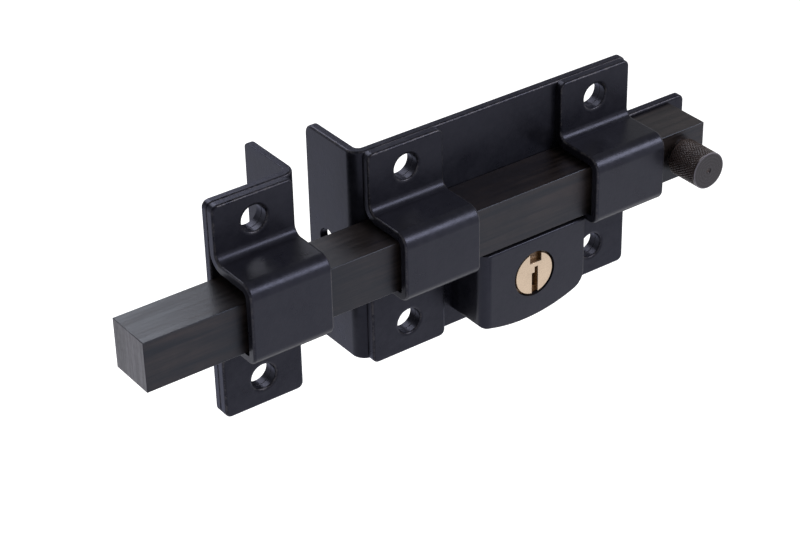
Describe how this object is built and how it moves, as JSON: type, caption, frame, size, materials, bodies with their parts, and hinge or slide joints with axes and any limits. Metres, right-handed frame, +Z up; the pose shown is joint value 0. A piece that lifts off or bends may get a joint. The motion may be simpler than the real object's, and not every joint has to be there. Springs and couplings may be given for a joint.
{
  "type": "rim lock",
  "caption": "Surface-mounted door lock: a free square bar with a knurled knob slides in bent steel straps into a keeper, and a key cylinder in a D-shaped case locks it.",
  "frame": {"origin": "middle of the lock's four door screws, on the back of the base plate where it lies on the door", "axes": "+X along the bar towards its knob, +Y into the door, +Z up"},
  "size_m": [0.2455, 0.0649, 0.0864],
  "materials": {
    "black_paint": "satin blue-black paint on bent sheet steel",
    "black_steel": "black oxide on drawn steel bar, with a faint lengthwise grain",
    "pale_brass": "smooth turned brass",
    "bright_steel": "plain zinc-plated steel"
  },
  "bodies": {
    "lock_and_keeper": {"base_plate": "black_paint", "left_strap": "black_paint", "right_strap": "black_paint", "keeper_plate": "black_paint", "keeper_strap": "black_paint", "lock_case": "black_paint", "cylinder_housing": "pale_brass", "chamber_cap": "pale_brass", "driver_pins": "pale_brass", "pin_springs": "bright_steel", "dog_springs": "bright_steel", "case_screws": "bright_steel", "cylinder_screws": "bright_steel"},
    "square_bar": {"bar": "black_steel", "knob": "black_steel"},
    "plug_and_cam": {"key_plug": "pale_brass", "key_pins": "pale_brass", "cam": "bright_steel", "cam_screw": "bright_steel"},
    "dog": {"locking_dog": "bright_steel"}
  },
  "joints": [
    {"name": "bar_slide", "type": "slide", "parent": "lock_and_keeper", "child": "square_bar", "axis": [1, 0, 0], "range_m": [-0.0043, 0.0958]},
    {"name": "plug_turn", "type": "hinge", "parent": "lock_and_keeper", "child": "plug_and_cam", "pos_m": [0.00255, -0.02133, -0.02095], "axis": [0, 1, 0], "range_deg": [0, 180]},
    {"name": "dog_lift", "type": "slide", "parent": "lock_and_keeper", "child": "dog", "axis": [0, 0, 1], "range_m": [0, 0.0043], "deforming": ["dog_springs"]}
  ],
  "couplings": [
    {"joint": "dog_lift", "follows": "plug_turn", "m_per_rad": 0.0013369}
  ]
}
